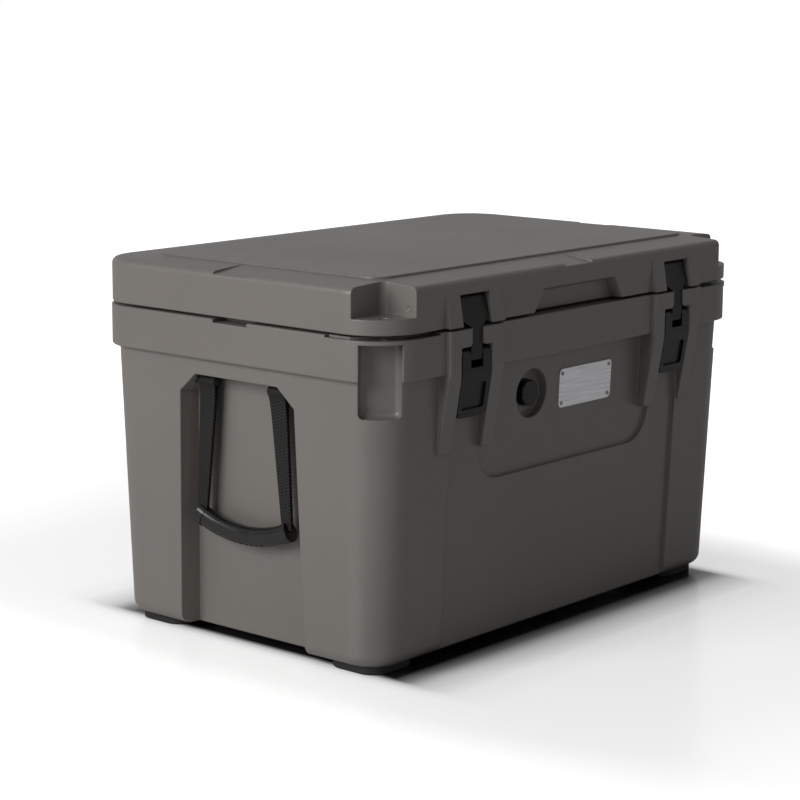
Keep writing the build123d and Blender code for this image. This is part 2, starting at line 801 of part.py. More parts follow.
# Outer shell of the lid.
with BuildPart() as lid_shell:
    add(lid_form.part)
    add(lid_panel.part)
    for side, name in sides:
        latch = side * latch_x
        add(buttresses(latch))
        add(slab((latch - slot_half, latch + slot_half),
                 (-rib_front - rib_round, -lid_depth / 2 + slot_depth),
                 (lid_low - lid_gap, lid_low + slot_height)), mode=Mode.SUBTRACT)
        with BuildSketch(Plane.XY.offset(lid_low + ledge_height)):
            with Locations((side * lid_length / 2, -lid_depth / 2)):
                RectangleRounded(2 * pocket_length, 2 * pocket_depth, pocket_round)
        extrude(amount=lid_height, mode=Mode.SUBTRACT)
        add(rod_along("x", (side * hinge_x, hinge_y, hinge_z), hinge_radius + hinge_clear, hinge_span),
            mode=Mode.SUBTRACT)
        add(hinge_knuckle(side * hinge_x, lid_knuckle, True))
    add(lid_scoops.part, mode=Mode.SUBTRACT)
    add(finger_grip.part, mode=Mode.SUBTRACT)
    add(lid_hollow(0), mode=Mode.SUBTRACT)
    add(prism(pan_length, pan_depth, pan_corner, lid_low - lid_gap, lid_hollow_low), mode=Mode.SUBTRACT)
    for side, name in sides:
        add(rod_along("x", (side * hinge_x, hinge_y, hinge_z), hinge_pin_radius + pin_fit, 2 * hinge_span),
            mode=Mode.SUBTRACT)
        add(rod_along("x", (side * (pin_start + pin_stop) / 2, latch_pin_y, latch_pin_z),
                      latch_pin_radius + pin_fit, pin_start - pin_stop), mode=Mode.SUBTRACT)
        add(rod_along("z", (side * padlock_x, padlock_y, lid_low), padlock_radius, 4 * ledge_height),
            mode=Mode.SUBTRACT)

lid_shell.part.label = "lid_shell"
export_step(lid_shell.part, "parts/lid_shell.step")

# Inner pan of the lid with the plug that dips into the tub, its foam and its gasket.
plug_length = tub_high[0] - 2 * plug_play
plug_width = tub_high[1] - 2 * plug_play
plug_corner = tub_corner - plug_play
gasket_length = tub_high[0] + 2 * (gasket_margin + gasket_width)
gasket_depth = tub_high[1] + 2 * (gasket_margin + gasket_width)
gasket_corner = tub_corner + gasket_margin
gasket_low = rim_top + touch_gap
gasket_high = lid_low + gasket_seat
with BuildPart() as lid_pan:
    add(prism(pan_length - 2 * foam_play, pan_depth - 2 * foam_play, pan_corner - foam_play, lid_low,
              lid_hollow_low))
    add(prism(plug_length, plug_width, plug_corner, lid_low - plug_depth, lid_low))
    fillet(lid_pan.faces().sort_by(Axis.Z)[0].edges(), pan_wall)
    add(prism(plug_length - 2 * pan_wall, plug_width - 2 * pan_wall, plug_corner - pan_wall,
              lid_low - plug_depth + pan_wall, lid_hollow_low), mode=Mode.SUBTRACT)
    add(prism(gasket_length, gasket_depth, gasket_corner + gasket_width, lid_low, gasket_high),
        mode=Mode.SUBTRACT)
    add(prism(gasket_length - 2 * gasket_width, gasket_depth - 2 * gasket_width, gasket_corner, lid_low,
              gasket_high))
    add(prism(plug_length - 2 * pan_wall, plug_width - 2 * pan_wall, plug_corner - pan_wall,
              lid_low - plug_depth + pan_wall, lid_hollow_low), mode=Mode.SUBTRACT)

lid_pan.part.label = "lid_pan"
export_step(lid_pan.part, "parts/lid_pan.step")

with BuildPart() as lid_gasket:
    inner = (gasket_length - 2 * gasket_width, gasket_depth - 2 * gasket_width, gasket_corner)
    add(prism(gasket_length - 2 * foam_play, gasket_depth - 2 * foam_play,
              gasket_corner + gasket_width - foam_play, gasket_low, gasket_high))
    fillet(lid_gasket.faces().sort_by(Axis.Z)[0].edges(), soft_edge)
    add(prism(inner[0] + 2 * foam_play, inner[1] + 2 * foam_play, inner[2] + foam_play,
              gasket_low, gasket_high), mode=Mode.SUBTRACT)

lid_gasket.part.label = "lid_gasket"
export_step(lid_gasket.part, "parts/lid_gasket.step")

with BuildPart() as lid_foam:
    add(lid_hollow(foam_play))
    add(prism(plug_length - 2 * (pan_wall + foam_play), plug_width - 2 * (pan_wall + foam_play),
              plug_corner - pan_wall, lid_low - plug_depth + pan_wall, lid_hollow_low))

lid_foam.part.label = "lid_foam"
export_step(lid_foam.part, "parts/lid_foam.step")

# Steel pins: hinge, latch and lever.
lever_pin_inner = ear_gap / 2 + lever_fork_play + lever_play
for side, name in sides:
    with BuildPart() as hinge_pin:
        add(rod_along("x", (side * hinge_x, hinge_y, hinge_z), hinge_pin_radius, hinge_span))
        chamfer(hinge_pin.edges(), soft_edge / 3)
    hinge_pin.part.label = f"hinge_pin_{name}"
    export_step(hinge_pin.part, f"parts/hinge_pin_{name}.step")
    with BuildPart() as latch_pin:
        add(rod_along("x", (side * (pin_start + pin_stop) / 2, latch_pin_y, latch_pin_z), latch_pin_radius,
                      pin_start - pin_stop - 2 * pin_fit))
        chamfer(latch_pin.edges(), soft_edge / 3)
    latch_pin.part.label = f"latch_pin_{name}"
    export_step(latch_pin.part, f"parts/latch_pin_{name}.step")
    for turn, end_name in ((-1, "outer"), (1, "inner")):
        middle = side * latch_x - side * turn * (lever_pin_inner + lever_pin_length / 2)
        with BuildPart() as lever_pin:
            add(rod_along("x", (middle, lever_pivot_y, lever_pivot_z), latch_pin_radius,
                          lever_pin_length - pin_fit))
            chamfer(lever_pin.edges(), soft_edge / 3)
        lever_pin.part.label = f"lever_pin_{name}_{end_name}"
        export_step(lever_pin.part, f"parts/lever_pin_{name}_{end_name}.step")

# Latch straps: a barrel head on the lid's pin and a neck that drops between the ears.
neck_front = -(rib_front - strap_recess)
neck_back = neck_front + strap_thick
neck_top = lid_low + strap_neck_top
neck_half = ear_gap / 2 - strap_play_neck
neck_low = rim_top - strap_end
head_half = slot_half - strap_play
head_low = lid_low + strap_head
head_top = latch_pin_z + strap_barrel + strap_play
for side, name in sides:
    latch = side * latch_x
    outline = [(latch_pin_y - strap_barrel, latch_pin_z), (neck_front, neck_top), (neck_front, neck_low),
               (neck_back, neck_low), (neck_back, neck_top - strap_recess),
               (latch_pin_y + strap_barrel / 2, latch_pin_z - strap_barrel * sqrt(3) / 2),
               (latch_pin_y, latch_pin_z)]
    with BuildPart() as latch_strap:
        add(profile_bar(outline, latch - head_half, latch + head_half))
        add(rod_along("x", (latch, latch_pin_y, latch_pin_z), strap_barrel, 2 * head_half))
        with BuildSketch(Plane(origin=(latch, 0, 0), x_dir=(1, 0, 0), z_dir=(0, -1, 0))):
            with BuildLine():
                Polyline((-head_half, head_top), (head_half, head_top), (head_half, head_low),
                         (neck_half, neck_top), (neck_half, neck_low),
                         (-neck_half, neck_low), (-neck_half, neck_top),
                         (-head_half, head_low), close=True)
            make_face()
        extrude(amount=lid_depth, mode=Mode.INTERSECT)
        add(rod_along("x", (latch, latch_pin_y, latch_pin_z), latch_pin_radius + pin_fit, 4 * head_half),
            mode=Mode.SUBTRACT)
        low_edges = latch_strap.edges().group_by(Axis.Z)[0].filter_by(Axis.X)
        fillet(low_edges, soft_edge)
    latch_strap.part.label = f"latch_strap_{name}"
    export_step(latch_strap.part, f"parts/latch_strap_{name}.step")

# Latch levers: forked paddles that turn on stub pins in the ribs.
lever_front = -(rib_front - lever_set)
lever_knee_z = rim_top - lever_knee
lever_low = rim_top - lever_length
lever_back = lever_pivot_y + lever_arm
lever_slope = atan2(lever_tilt, lever_knee_z - lever_low)
for side, name in sides:
    latch = side * latch_x
    outline = [(lever_front, lever_pivot_z), (lever_front, lever_knee_z),
               (lever_front + lever_tilt, lever_low),
               (lever_front + lever_tilt + lever_thick, lever_low), (lever_back, lever_knee_z),
               (lever_back, lever_pivot_z)]
    with BuildPart() as latch_lever:
        add(profile_bar(outline, latch - lever_half, latch + lever_half))
        add(rod_along("x", (latch, lever_pivot_y, lever_pivot_z), lever_arm, 2 * lever_half))
        fillet(latch_lever.edges().filter_by(Axis.Y).group_by(Axis.Z)[0], lever_corner)
        fork_half = ear_gap / 2 + lever_fork_play
        add(slab((latch - fork_half, latch + fork_half), (-rib_front - lever_arm, lever_back + lever_arm),
                 (rim_top - lever_fork, rim_top)), mode=Mode.SUBTRACT)
        with BuildSketch(Plane(origin=(latch, lever_front, lever_knee_z), x_dir=(1, 0, 0),
                               z_dir=(0, -cos(lever_slope), -sin(lever_slope)))):
            with Locations((0, -inset_drop - inset_height / 2)):
                RectangleRounded(2 * (lever_half - inset_margin), inset_height, rib_round)
        extrude(amount=-inset_depth, mode=Mode.SUBTRACT)
        add(rod_along("x", (latch, lever_pivot_y, lever_pivot_z), latch_pin_radius + pin_fit, 4 * lever_half),
            mode=Mode.SUBTRACT)
    latch_lever.part.label = f"latch_lever_{name}"
    export_step(latch_lever.part, f"parts/latch_lever_{name}.step")

# Bare plate on the front field and its four rivets.
with BuildPart() as name_plate:
    with BuildSketch(plate_plane):
        with Locations((plate_x, 0)):
            RectangleRounded(plate_length, plate_height, plate_corner)
        with Locations(*[(x, y) for x, y, name in rivet_places]):
            Circle(rivet_radius + screw_play, mode=Mode.SUBTRACT)
    extrude(amount=plate_thick)

name_plate.part.label = "name_plate"
export_step(name_plate.part, "parts/name_plate.step")

for x, y, name in rivet_places:
    with BuildPart() as plate_rivet:
        with BuildSketch(plate_plane.offset(screw_play - rivet_length)):
            with Locations((x, y)):
                Circle(rivet_radius)
        extrude(amount=rivet_length - screw_play + plate_thick)
        with BuildSketch(plate_plane.offset(plate_thick)):
            with Locations((x, y)):
                Circle(rivet_head)
        extrude(amount=rivet_head_height)
        fillet(plate_rivet.edges().sort_by(Axis.Y)[0], rivet_head_height / 2)
    plate_rivet.part.label = f"plate_rivet_{name}"
    export_step(plate_rivet.part, f"parts/plate_rivet_{name}.step")


def wall_bush(face, length, radius, flange_radius, flange, bore):
    """A flanged tube through a wall, seen from outside on the given plane."""
    with BuildPart() as bush:
        with BuildSketch(face):
            Circle(flange_radius)
        extrude(amount=flange)
        fillet(bush.faces().filter_by(lambda part: part.normal_at().dot(face.z_dir) > 0.9).edges(),
               flange / 4)
        with BuildSketch(face):
            Circle(radius)
        extrude(amount=-length)
        with BuildSketch(face):
            Circle(bore)
        extrude(amount=length, both=True, mode=Mode.SUBTRACT)
    return bush.part


def seal_ring(face, radius, bore, thick):
    """A flat rubber ring on the given plane."""
    with BuildPart() as ring:
        with BuildSketch(face):
            Circle(radius)
            Circle(bore, mode=Mode.SUBTRACT)
        extrude(amount=thick)
    return ring.part


def lobed_knob(face, radius, height, lobes, lobe_radius, shank_radius, shank_length):
    """A hand knob with a scalloped rim and a round shank behind it."""
    with BuildPart() as knob:
        with BuildSketch(face):
            Circle(radius)
            with PolarLocations(radius + lobe_radius / 2, lobes):
                Circle(lobe_radius, mode=Mode.SUBTRACT)
        extrude(amount=height)
        chamfer(knob.faces().filter_by(lambda part: part.normal_at().dot(face.z_dir) > 0.9).edges(),
                knob_edge)
        with BuildSketch(face):
            Circle(shank_radius)
        extrude(amount=-shank_length)
        chamfer(knob.faces().filter_by(lambda part: part.normal_at().dot(face.z_dir) < -0.9)
                .sort_by(lambda part: part.center().dot(face.z_dir))[0].edges(), knob_edge)
    return knob.part


# Relief valve: bush, sealing ring and knob.
valve_face = Plane(origin=(valve_x, -dish_floor, valve_z), x_dir=(1, 0, 0), z_dir=(0, -1, 0))
valve_seal_face = valve_face.offset(valve_flange + touch_gap)
valve_knob_face = valve_seal_face.offset(valve_seal_thick + touch_gap)
with BuildPart() as valve_bush:
    add(wall_bush(valve_face, valve_length, valve_bush_radius, valve_flange_radius, valve_flange, valve_bore))

valve_bush.part.label = "valve_bush"
export_step(valve_bush.part, "parts/valve_bush.step")

with BuildPart() as valve_seal:
    add(seal_ring(valve_seal_face, valve_seal_radius, valve_bore + touch_gap, valve_seal_thick))

valve_seal.part.label = "valve_seal"
export_step(valve_seal.part, "parts/valve_seal.step")

with BuildPart() as valve_knob:
    add(lobed_knob(valve_knob_face, valve_knob_radius, valve_knob_height, valve_lobes, valve_lobe_radius,
                   valve_bore - shaft_fit, valve_shank))

valve_knob.part.label = "valve_knob"
export_step(valve_knob.part, "parts/valve_knob.step")

# Drain: bush, sealing ring and screw plug.
drain_plane = Plane(origin=(drain_face, 0, drain_z), x_dir=(0, 1, 0), z_dir=(1, 0, 0))
drain_seal_face = drain_plane.offset(drain_flange + touch_gap)
drain_plug_face = drain_seal_face.offset(drain_seal_thick + touch_gap)
with BuildPart() as drain_bush:
    add(wall_bush(drain_plane, drain_length, drain_bush_radius, drain_flange_radius, drain_flange,
                  drain_bore))

drain_bush.part.label = "drain_bush"
export_step(drain_bush.part, "parts/drain_bush.step")

with BuildPart() as drain_seal:
    add(seal_ring(drain_seal_face, drain_bore + drain_seal_width, drain_bore + touch_gap, drain_seal_thick))

drain_seal.part.label = "drain_seal"
export_step(drain_seal.part, "parts/drain_seal.step")

with BuildPart() as drain_plug:
    add(lobed_knob(drain_plug_face, drain_head_radius, drain_head, drain_lobes, drain_lobe_radius,
                   drain_bore - shaft_fit, drain_flange + drain_length))

drain_plug.part.label = "drain_plug"
export_step(drain_plug.part, "parts/drain_plug.step")

# Handles: rod stubs in the recess, two webbing legs and a moulded grip.
web_low = rod_z - web_length
grip_radius = (grip_half**2 + grip_sag**2) / (2 * grip_sag)
grip_middle = web_low - grip_sag


def webbing(side, end, play):
    """One leg of doubled webbing from the rod down to the end of the grip."""
    top = web_width / 2 + play
    foot = web_end_width / 2 + play
    with BuildPart() as leg:
        with BuildSketch(Plane.YZ.offset(side * rod_x)):
            with BuildLine():
                Polyline((end * web_top - top, rod_z), (end * web_top + top, rod_z),
                         (end * web_foot + foot, web_low - play), (end * web_foot - foot, web_low - play),
                         close=True)
            make_face()
        extrude(amount=web_ply + play, both=True)
    return leg.part


for side, name in sides:
    for end, end_name in ends:
        rod_tip = web_top - web_width / 2
        with BuildPart() as handle_rod:
            add(rod_along("y", (side * rod_x, end * (rod_half - pin_fit + rod_tip) / 2, rod_z), rod_radius,
                          rod_half - pin_fit - rod_tip))
            chamfer(handle_rod.edges().filter_by(GeomType.CIRCLE), soft_edge / 3)
        handle_rod.part.label = f"handle_rod_{name}_{end_name}"
        export_step(handle_rod.part, f"parts/handle_rod_{name}_{end_name}.step")
        loop_middle = (side * rod_x, end * web_top, rod_z)
        with BuildPart() as handle_web:
            add(webbing(side, end, 0))
            add(rod_along("y", loop_middle, rod_radius + touch_gap + web_ply, web_width))
            add(rod_along("y", loop_middle, rod_radius + touch_gap, 2 * web_width), mode=Mode.SUBTRACT)
        handle_web.part.label = f"handle_web_{name}_{end_name}"
        export_step(handle_web.part, f"parts/handle_web_{name}_{end_name}.step")

    with BuildPart() as handle_grip:
        with BuildLine() as grip_line:
            ThreePointArc((side * rod_x, -grip_half, web_low), (side * rod_x, 0, grip_middle),
                          (side * rod_x, grip_half, web_low))
        start = Plane(origin=grip_line.line @ 0, x_dir=(1, 0, 0), z_dir=grip_line.line % 0)
        stop = Plane(origin=grip_line.line @ 1, x_dir=(1, 0, 0), z_dir=-(grip_line.line % 1))
        with BuildSketch(start):
            RectangleRounded(grip_thick, grip_height, grip_round)
        sweep()
        for face in (start, stop):
            with BuildSketch(face):
                RectangleRounded(grip_thick + 2 * collar_swell, grip_height + 2 * collar_swell,
                                 grip_round + collar_swell)
            extrude(amount=collar_length)
        for step in range(grip_notches):
            turn = (step - (grip_notches - 1) / 2) * grip_notch_step / grip_radius
            reach = grip_radius + grip_height / 2
            add(rod_along("x", (side * rod_x, reach * sin(turn),
                                grip_middle + grip_radius - reach * cos(turn)),
                          grip_notch_radius, 2 * grip_thick), mode=Mode.SUBTRACT)
        for end, end_name in ends:
            add(webbing(side, end, web_play), mode=Mode.SUBTRACT)
    handle_grip.part.label = f"handle_grip_{name}"
    export_step(handle_grip.part, f"parts/handle_grip_{name}.step")
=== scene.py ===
import bpy
from math import cos, pi, radians, sin
from mathutils import Matrix, Vector


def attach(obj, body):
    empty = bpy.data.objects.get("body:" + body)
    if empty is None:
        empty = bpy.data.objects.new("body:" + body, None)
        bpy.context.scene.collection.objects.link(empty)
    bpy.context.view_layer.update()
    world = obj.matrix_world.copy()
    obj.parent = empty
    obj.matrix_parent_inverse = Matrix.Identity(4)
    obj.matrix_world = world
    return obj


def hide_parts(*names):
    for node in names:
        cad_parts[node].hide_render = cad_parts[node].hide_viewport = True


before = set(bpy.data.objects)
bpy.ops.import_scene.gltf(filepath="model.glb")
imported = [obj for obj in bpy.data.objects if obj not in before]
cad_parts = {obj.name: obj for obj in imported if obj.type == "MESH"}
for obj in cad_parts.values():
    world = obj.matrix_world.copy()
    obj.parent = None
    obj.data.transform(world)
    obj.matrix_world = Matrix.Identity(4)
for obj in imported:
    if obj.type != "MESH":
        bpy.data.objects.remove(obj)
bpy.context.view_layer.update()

# The studio: a long lens looks at the front left corner of the box from just above lid height.
# A pale seamless floor runs back out of sight, and a large soft lamp stands on the left.
camera_place = (-2.1745, -1.7955, 0.7721)
camera_aim = Vector((0.7498, 0.6355, -0.1843)).normalized()
camera_roll = radians(0.33)
side_way = camera_aim.cross(Vector((0, 0, 1))).normalized()
up_way = side_way.cross(camera_aim)
camera_right = side_way * cos(camera_roll) + up_way * sin(camera_roll)
camera_up = up_way * cos(camera_roll) - side_way * sin(camera_roll)

lens = bpy.data.cameras.new("studio_camera")
lens.sensor_width = 36
lens.lens = 104.314
lens.clip_end = 60
camera = bpy.data.objects.new("studio_camera", lens)
camera.matrix_world = Matrix.Translation(camera_place) @ Matrix(
    (camera_right, camera_up, -camera_aim)).transposed().to_4x4()
bpy.context.scene.collection.objects.link(camera)
bpy.context.scene.camera = camera
bpy.context.scene.view_settings.view_transform = "Standard"


def soft_lamp(name, place, aim, width, height, power):
    """A rectangular soft lamp at a place, turned to a point."""
    data = bpy.data.lights.new(name, "AREA")
    data.shape = "RECTANGLE"
    data.size = width
    data.size_y = height
    data.energy = power
    lamp = bpy.data.objects.new(name, data)
    lamp.location = place
    lamp.rotation_euler = (Vector(aim) - Vector(place)).to_track_quat("-Z", "Y").to_euler()
    bpy.context.scene.collection.objects.link(lamp)


soft_lamp("left_lamp", (-3.2, 0.5, 1.65), (0, 0, 0.2), 2.2, 1.6, 92)
soft_lamp("top_lamp", (-0.2, 0.6, 3.2), (0, 0, 0.3), 2.6, 2.0, 6)
soft_lamp("front_lamp", (-0.9, -3.6, 1.4), (0, 0, 0.25), 1.6, 1.4, 5)


def add_node(tree, kind, operation=None):
    """A new shader node, set to one operation where its kind has several."""
    made = tree.nodes.new("ShaderNode" + kind)
    if operation:
        made.operation = operation
    return made


def share_seen(tree, gleam_share):
    """How much of the backdrop a ray sees: all by eye or through glass, and a share in reflections."""
    ray = add_node(tree, "LightPath")
    gleam = add_node(tree, "Math", "MULTIPLY")
    gleam.inputs[1].default_value = gleam_share
    straight = add_node(tree, "Math", "MAXIMUM")
    shown = add_node(tree, "Math", "MAXIMUM")
    tree.links.new(ray.outputs["Is Glossy Ray"], gleam.inputs[0])
    tree.links.new(ray.outputs["Is Camera Ray"], straight.inputs[0])
    tree.links.new(ray.outputs["Is Transmission Ray"], straight.inputs[1])
    tree.links.new(straight.outputs[0], shown.inputs[0])
    tree.links.new(gleam.outputs[0], shown.inputs[1])
    return shown.outputs[0]


air_light = 0.13
air_white = 1.0
air_gleam = 0.3
world = bpy.data.worlds.new("studio_air")
world.use_nodes = True
air = world.node_tree
sky = air.nodes["Background"]
sky.inputs["Color"].default_value = (1, 1, 1, 1)
level = add_node(air, "MapRange")
level.inputs["To Min"].default_value = air_light
level.inputs["To Max"].default_value = air_white
air.links.new(share_seen(air, air_gleam), level.inputs["Value"])
air.links.new(level.outputs["Result"], sky.inputs["Strength"])
bpy.context.scene.world = world

# The floor paper carries a painted shadow: its colour is dark under the box and close around it, and its glow
# is held low there as painted shade and lifts to white with distance.
# The distance counts four times as fast to the sides as to the front and back, so the glow paints light over
# the floor's shadow to the sides.
footprint = (0.305, 0.205, 0)
side_stretch = (4, 1, 0)
# Painted shadow: the floor colour under the box, turning to the pale paper colour within a few centimetres of
# its footprint.
painted_shadow_tone = 0.01
paper_pale = 0.72
painted_shadow_reach = 0.04
floor_gleam = 0.12
# Steps of the floor's glow with distance from the box: near nothing close to it, a painted shade, rising to
# full white far off.
painted_shadow_lift_steps = ((0.02, 0.02), (0.05, 0.25), (0.09, 0.46), (0.14, 0.52), (0.35, 0.54), (0.6, 0.68))

bpy.ops.object.select_all(action="DESELECT")
bpy.ops.mesh.primitive_plane_add(size=24, location=(4, 4, 0))
floor = bpy.context.object
floor.name = "studio_floor"
paper = bpy.data.materials.new("floor_paper")
paper.use_nodes = True
sheet = paper.node_tree
paint = sheet.nodes["Principled BSDF"]
paint.inputs["Roughness"].default_value = 0.22
paint.inputs["Specular IOR Level"].default_value = 0.5
paint.inputs["Emission Color"].default_value = (1, 1, 1, 1)
spot = add_node(sheet, "NewGeometry")
around = add_node(sheet, "VectorMath", "ABSOLUTE")
beyond = add_node(sheet, "VectorMath", "SUBTRACT")
beyond.inputs[1].default_value = footprint
clear = add_node(sheet, "VectorMath", "MAXIMUM")
clear.inputs[1].default_value = (0, 0, 0)
stretch = add_node(sheet, "VectorMath", "MULTIPLY")
stretch.inputs[1].default_value = side_stretch
distance = add_node(sheet, "VectorMath", "LENGTH")
# Painted shade in the glow: nothing under the box, growing with distance, and held low close around it.
painted_shadow_fade = add_node(sheet, "ValToRGB")
painted_shadow_fade.color_ramp.elements[0].position = 0
painted_shadow_fade.color_ramp.elements[0].color = (0, 0, 0, 1)
painted_shadow_fade.color_ramp.elements[1].position = 1
painted_shadow_fade.color_ramp.elements[1].color = (1, 1, 1, 1)
for where, value in painted_shadow_lift_steps:
    painted_shadow_fade.color_ramp.elements.new(where).color = (value, value, value, 1)
# Painted shadow: this ramp makes the floor colour near black under the box and pale just beyond its footprint.
painted_shadow_ramp = add_node(sheet, "ValToRGB")
painted_shadow_ramp.color_ramp.elements[0].position = 0
painted_shadow_ramp.color_ramp.elements[0].color = (painted_shadow_tone, painted_shadow_tone, painted_shadow_tone, 1)
painted_shadow_ramp.color_ramp.elements[1].position = painted_shadow_reach
painted_shadow_ramp.color_ramp.elements[1].color = (paper_pale, paper_pale, paper_pale, 1)
lift = add_node(sheet, "Math", "MULTIPLY")
sheet.links.new(spot.outputs["Position"], around.inputs[0])
sheet.links.new(around.outputs["Vector"], beyond.inputs[0])
sheet.links.new(beyond.outputs["Vector"], clear.inputs[0])
sheet.links.new(clear.outputs["Vector"], stretch.inputs[0])
sheet.links.new(stretch.outputs["Vector"], distance.inputs[0])
sheet.links.new(distance.outputs["Value"], painted_shadow_fade.inputs["Fac"])
sheet.links.new(distance.outputs["Value"], painted_shadow_ramp.inputs["Fac"])
sheet.links.new(painted_shadow_ramp.outputs["Color"], paint.inputs["Base Color"])
sheet.links.new(painted_shadow_fade.outputs["Color"], lift.inputs[0])
sheet.links.new(share_seen(sheet, floor_gleam), lift.inputs[1])
sheet.links.new(lift.outputs[0], paint.inputs["Emission Strength"])
floor.data.materials.append(paper)

# The body: a hollow rotomoulded box of warm grey polyethylene with a foam core.
# Its outer shell and the tub inside it are one moulding, satin with a faint orange-peel skin.
panel_seam = 0.167
moulded_edge = 0.0024


def finish(name, dark, light, rough, rough_spread, grain, grain_depth, patch=5.0, edge=0.0, shine=0.5):
    """A moulded finish: slow patches of tone, a fine grain in the skin and uneven gloss."""
    material = bpy.data.materials.new(name)
    material.use_nodes = True
    tree = material.node_tree
    shader = tree.nodes["Principled BSDF"]
    shader.inputs["Specular IOR Level"].default_value = shine
    place = add_node(tree, "TexCoord")
    slow = add_node(tree, "TexNoise")
    slow.inputs["Scale"].default_value = patch
    slow.inputs["Detail"].default_value = 4
    fine = add_node(tree, "TexNoise")
    fine.inputs["Scale"].default_value = grain
    fine.inputs["Detail"].default_value = 3
    tone = add_node(tree, "ValToRGB")
    tone.color_ramp.elements[0].position = 0.3
    tone.color_ramp.elements[0].color = (*dark, 1)
    tone.color_ramp.elements[1].position = 0.7
    tone.color_ramp.elements[1].color = (*light, 1)
    gloss = add_node(tree, "MapRange")
    gloss.inputs["From Min"].default_value = 0.3
    gloss.inputs["From Max"].default_value = 0.7
    gloss.inputs["To Min"].default_value = rough - rough_spread
    gloss.inputs["To Max"].default_value = rough + rough_spread
    skin = add_node(tree, "Bump")
    skin.inputs["Strength"].default_value = 0.35
    skin.inputs["Distance"].default_value = grain_depth
    for texture in (slow, fine):
        tree.links.new(place.outputs["Object"], texture.inputs["Vector"])
    tree.links.new(slow.outputs["Fac"], tone.inputs["Fac"])
    tree.links.new(tone.outputs["Color"], shader.inputs["Base Color"])
    tree.links.new(slow.outputs["Fac"], gloss.inputs["Value"])
    tree.links.new(gloss.outputs["Result"], shader.inputs["Roughness"])
    tree.links.new(fine.outputs["Fac"], skin.inputs["Height"])
    tree.links.new(skin.outputs["Normal"], shader.inputs["Normal"])
    if edge:
        soften_edges(tree, place, skin, edge)
    return material


def soften_edges(tree, place, skin, edge):
    """Rounds the light on moulded edges, but not where two panels of the shell meet."""
    worn = add_node(tree, "Bevel")
    worn.samples = 6
    worn.inputs["Radius"].default_value = edge
    split = add_node(tree, "SeparateXYZ")
    across = add_node(tree, "Math", "ABSOLUTE")
    seam = add_node(tree, "Math", "COMPARE")
    seam.inputs[1].default_value = panel_seam
    seam.inputs[2].default_value = 2 * edge
    facing = add_node(tree, "NewGeometry")
    blend = add_node(tree, "Mix")
    blend.data_type = "VECTOR"
    tree.links.new(place.outputs["Object"], split.inputs["Vector"])
    tree.links.new(split.outputs["Y"], across.inputs[0])
    tree.links.new(across.outputs[0], seam.inputs[0])
    tree.links.new(seam.outputs[0], blend.inputs["Factor"])
    tree.links.new(worn.outputs["Normal"], blend.inputs[4])
    tree.links.new(facing.outputs["Normal"], blend.inputs[5])
    tree.links.new(blend.outputs[1], skin.inputs["Normal"])


def dress(material, *names):
    """Puts one finish on CAD nodes by name."""
    for name in names:
        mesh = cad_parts[name].data
        mesh.materials.clear()
        mesh.materials.append(material)


def nodes_called(start):
    """The CAD nodes whose names begin in one way."""
    return [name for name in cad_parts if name.startswith(start)]


warm_grey = finish("warm_grey_moulding", (0.148, 0.135, 0.124), (0.166, 0.152, 0.140), 0.37, 0.05,
                   700, 0.0004, edge=moulded_edge)
dress(warm_grey, "body_liner", *nodes_called("shell_"))

# The foam core of the body and of the lid: cream polyurethane, poured between the two walls.
# It sets hard, holds them together and is seen nowhere once the box is closed up.
foam_cream = finish("foam_cream", (0.62, 0.52, 0.33), (0.74, 0.64, 0.45), 0.9, 0.05, 260, 0.002)
dress(foam_cream, "body_foam", "lid_foam")

# The lid: an outer moulding with a raised panel and an inner pan that plugs the tub.
# Both come out of the same grey as the body.
lid_grey = finish("lid_grey_moulding", (0.150, 0.137, 0.126), (0.168, 0.154, 0.142), 0.36, 0.05,
                  720, 0.0004, 4.0, edge=moulded_edge)
dress(lid_grey, "lid_shell", "lid_pan")

# The gasket, a soft black rubber ring pressed into a groove of the lid's pan.
# The vent and the drain each have a small ring of the same rubber under the head of the bush.
seal_black = finish("seal_rubber", (0.010, 0.010, 0.010), (0.018, 0.018, 0.018), 0.62, 0.06, 900, 0.0003)
dress(seal_black, "lid_gasket", "drain_seal", "valve_seal")

# Draw latches: a rubber strap hangs from a pin in the lid, between two ribs.
# A moulded lever on the body pulls it down. Both are black, and the lever is the glossier one.
latch_dark = (0.004, 0.004, 0.004)
latch_light = (0.008, 0.008, 0.008)
low_shine = 0.28
strap_black = finish("strap_rubber", latch_dark, latch_light, 0.46, 0.06, 800, 0.0003, 30, shine=low_shine)
lever_black = finish("lever_moulding", latch_dark, latch_light, 0.36, 0.06, 1000, 0.0003, 30, shine=low_shine)
dress(strap_black, "latch_strap_left", "latch_strap_right")
dress(lever_black, "latch_lever_left", "latch_lever_right")

# Drawn steel pins, pushed through the knuckles of the hinge and the ribs of the latches.
# The screws that hold the feet are of the same bright steel.
pin_steel = finish("pin_steel", (0.42, 0.42, 0.42), (0.58, 0.58, 0.57), 0.30, 0.08, 500, 0.0002, 60)
pin_steel.node_tree.nodes["Principled BSDF"].inputs["Metallic"].default_value = 1
dress(pin_steel, *nodes_called("hinge_pin_"), *nodes_called("latch_pin_"), *nodes_called("lever_pin_"))
dress(pin_steel, *nodes_called("foot_screw"))

# Carry handles: doubled nylon webbing looped over black rod stubs behind the lip of each end recess.
# Both plies run down into a moulded grip with finger ridges along its underside.
grip_black = finish("grip_moulding", (0.003, 0.003, 0.003), (0.006, 0.006, 0.006), 0.27, 0.05, 900, 0.0002, 40)
dress(grip_black, "handle_grip_left", "handle_grip_right", *nodes_called("handle_rod"))

